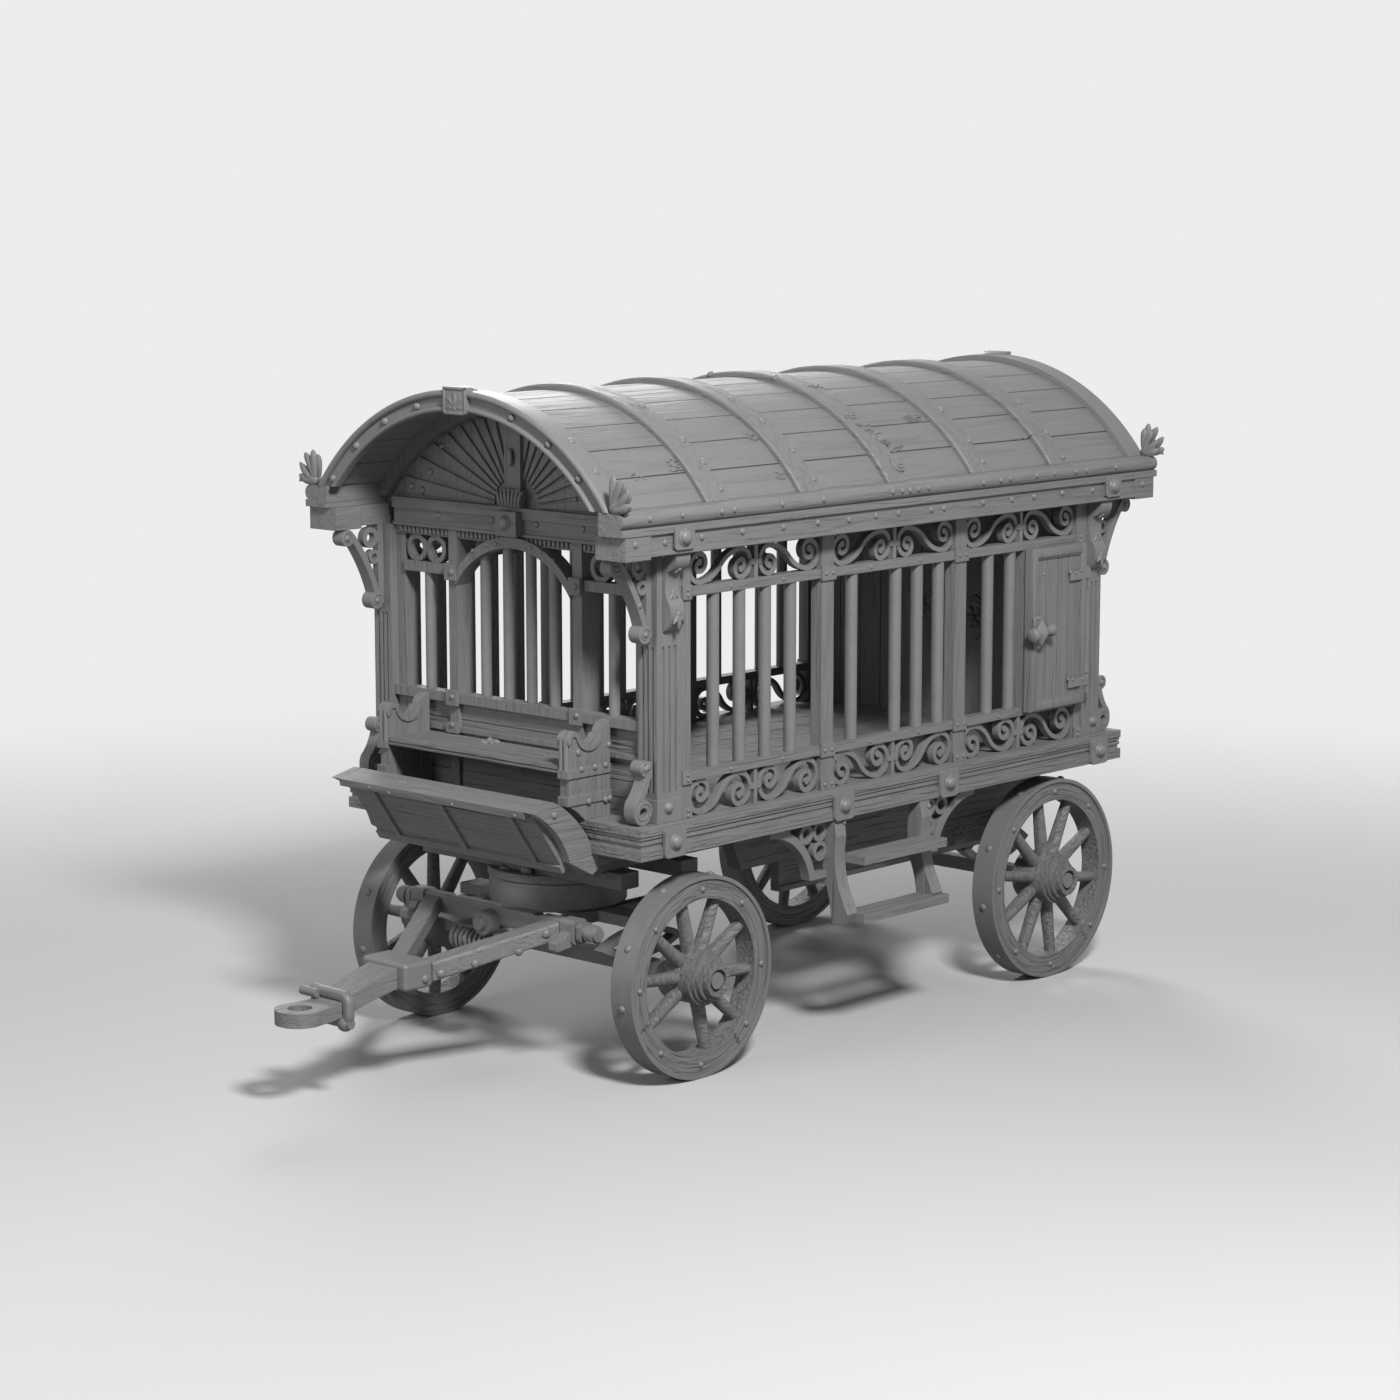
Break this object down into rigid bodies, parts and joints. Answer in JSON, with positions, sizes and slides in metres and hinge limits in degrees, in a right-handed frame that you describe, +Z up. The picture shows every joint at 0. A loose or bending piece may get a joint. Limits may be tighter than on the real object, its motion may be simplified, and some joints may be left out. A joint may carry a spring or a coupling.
{
  "type": "circus cage wagon",
  "caption": "Horse-drawn circus cage wagon with a barrel roof, scroll friezes, a side door, steps, a driver's bench and a steered A-frame drawbar.",
  "frame": {"origin": "on the ground, at the middle of the overall length and width", "axes": "+X to the rear, -Y to the side with the door and steps, +Z up"},
  "size_m": [5.38, 2.32, 3.336],
  "materials": {
    "iron_tyre": "worn smooth",
    "iron": "matt paint",
    "carved_wood": "painted",
    "wheel_wood": "painted, open grain",
    "plank_wood": "painted, open grain",
    "frame_wood": "painted, open grain"
  },
  "bodies": {
    "wagon": {"bars_front": "iron", "bench_seat": "plank_wood", "bench_sides": "frame_wood", "boss_plates": "iron", "chassis_beams": "frame_wood", "corner_posts": "frame_wood", "cross_ties": "frame_wood", "door_frame": "frame_wood", "door_pintles": "iron", "eave_rails": "frame_wood", "end_arches": "frame_wood", "fascia_beams": "frame_wood", "floor_boards": "plank_wood", "floor_joists": "frame_wood", "foot_scrolls": "carved_wood", "footboard": "plank_wood", "footboard_arms": "frame_wood", "front_bolster": "frame_wood", "front_frame": "frame_wood", "front_parapet": "plank_wood", "front_tympanum": "frame_wood", "rear_axle": "iron", "rear_springs": "iron", "rear_tie": "frame_wood", "rear_wall": "plank_wood", "roof_brackets": "carved_wood", "roof_carvings": "carved_wood", "roof_planks": "plank_wood", "roof_ribs": "frame_wood", "scroll_friezes": "iron", "side_bars": "iron", "side_posts": "frame_wood", "side_rails": "frame_wood", "sill_frame": "frame_wood", "step_braces": "iron", "step_stringers": "frame_wood", "step_treads": "plank_wood"},
    "drawbar": {"crossbar": "iron", "crossbar_hooks": "iron", "drawbar_clamp": "iron", "drawbar_struts": "iron", "drawbar_tongue": "iron", "shackle": "iron"},
    "cage_door": {"door_latch": "iron", "door_leaf": "plank_wood", "door_straps": "iron"},
    "fore_carriage": {"fore_frame": "frame_wood", "front_axle": "iron", "front_springs": "iron", "turntable_drum": "iron"},
    "wheel_front_left": {"tyre_front_left": "iron_tyre", "wheel_front_left": "wheel_wood"},
    "wheel_front_right": {"tyre_front_right": "iron_tyre", "wheel_front_right": "wheel_wood"},
    "wheel_rear_left": {"tyre_rear_left": "iron_tyre", "wheel_rear_left": "wheel_wood"},
    "wheel_rear_right": {"tyre_rear_right": "iron_tyre", "wheel_rear_right": "wheel_wood"}
  },
  "joints": [
    {"name": "steering", "type": "hinge", "parent": "wagon", "child": "fore_carriage", "pos_m": [-0.87, 0, 0.889], "axis": [0, 0, 1], "range_deg": [-25, 25]},
    {"name": "drawbar_pitch", "type": "hinge", "parent": "fore_carriage", "child": "drawbar", "pos_m": [-1.295, 0, 0.737], "axis": [0, 1, 0], "range_deg": [-15, 35]},
    {"name": "wheel_front_left_spin", "type": "hinge", "parent": "fore_carriage", "child": "wheel_front_left", "pos_m": [-0.87, -0.9, 0.5], "axis": [0, 1, 0], "continuous": true},
    {"name": "wheel_front_right_spin", "type": "hinge", "parent": "fore_carriage", "child": "wheel_front_right", "pos_m": [-0.87, 0.9, 0.5], "axis": [0, 1, 0], "continuous": true},
    {"name": "wheel_rear_left_spin", "type": "hinge", "parent": "wagon", "child": "wheel_rear_left", "pos_m": [1.95, -0.9, 0.544], "axis": [0, 1, 0], "continuous": true},
    {"name": "wheel_rear_right_spin", "type": "hinge", "parent": "wagon", "child": "wheel_rear_right", "pos_m": [1.95, 0.9, 0.544], "axis": [0, 1, 0], "continuous": true},
    {"name": "cage_door_swing", "type": "hinge", "parent": "wagon", "child": "cage_door", "pos_m": [2.13, -1.04, 1.9], "axis": [0, 0, 1], "range_deg": [0, 110]}
  ]
}
